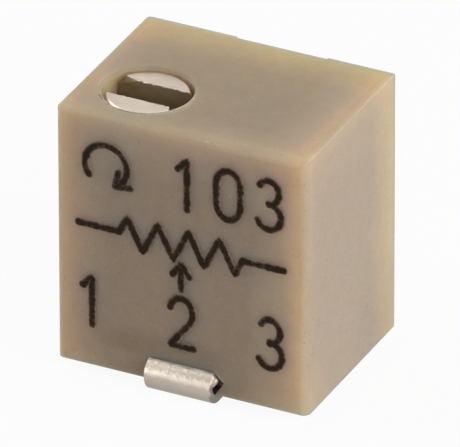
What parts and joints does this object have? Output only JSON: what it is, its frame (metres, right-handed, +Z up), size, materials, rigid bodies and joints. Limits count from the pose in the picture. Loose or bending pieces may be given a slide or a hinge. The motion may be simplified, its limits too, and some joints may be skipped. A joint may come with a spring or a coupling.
{
  "type": "multiturn trimmer potentiometer",
  "caption": "Small sealed rectangular trimmer potentiometer for surface mounting, with a slotted screw in its top that drives a worm wheel and wiper, and bent strip terminals.",
  "frame": {"origin": "middle of the footprint, on the solder plane under the terminals' feet", "axes": "+X along the marked face towards terminal 3, +Y from the marked face to the epoxy-filled back, +Z up through the adjustment screw's head"},
  "size_m": [0.0048, 0.0038, 0.0052],
  "materials": {
    "case_plastic": "moulded, tan-grey, slightly translucent at its edges",
    "plated_brass": "nickel-plated brass, turned",
    "seal_rubber": "silicone rubber, matte",
    "retainer_steel": "stamped sheet",
    "wheel_plastic": "moulded, natural",
    "spring_alloy": "precious-metal plated spring strip",
    "alumina": "fired, matte white",
    "cermet": "fired film, satin",
    "silver_film": "fired silver film",
    "tinned_strip": "matte tin plating",
    "solder": "reflowed",
    "epoxy": "poured and cured, slightly dished",
    "marking_ink": "printed marks on the case"
  },
  "bodies": {
    "case": {"case": "case_plastic", "screw_retainer": "retainer_steel", "element_plate": "alumina", "resistive_track": "cermet", "collector_film": "silver_film", "end_film_1": "silver_film", "end_film_3": "silver_film", "terminal_1": "tinned_strip", "terminal_2": "tinned_strip", "terminal_3": "tinned_strip", "solder_joint_1": "solder", "solder_joint_2": "solder", "solder_joint_3": "solder", "epoxy_seal": "epoxy"},
    "screw": {"adjustment_screw": "plated_brass", "screw_seal_ring": "seal_rubber"},
    "wheel": {"worm_wheel": "wheel_plastic", "wiper_spring": "spring_alloy"}
  },
  "joints": [
    {"name": "screw_turn", "type": "hinge", "parent": "case", "child": "screw", "pos_m": [-0.00116, -0.00062, 0.003], "axis": [0, 0, 1], "range_deg": [-2160, 2160]},
    {"name": "wheel_turn", "type": "hinge", "parent": "case", "child": "wheel", "pos_m": [0.0006, -0.00062, 0.00245], "axis": [0, 1, 0], "range_deg": [-154.29, 154.29]}
  ],
  "couplings": [
    {"joint": "wheel_turn", "follows": "screw_turn", "ratio": -0.071429}
  ]
}
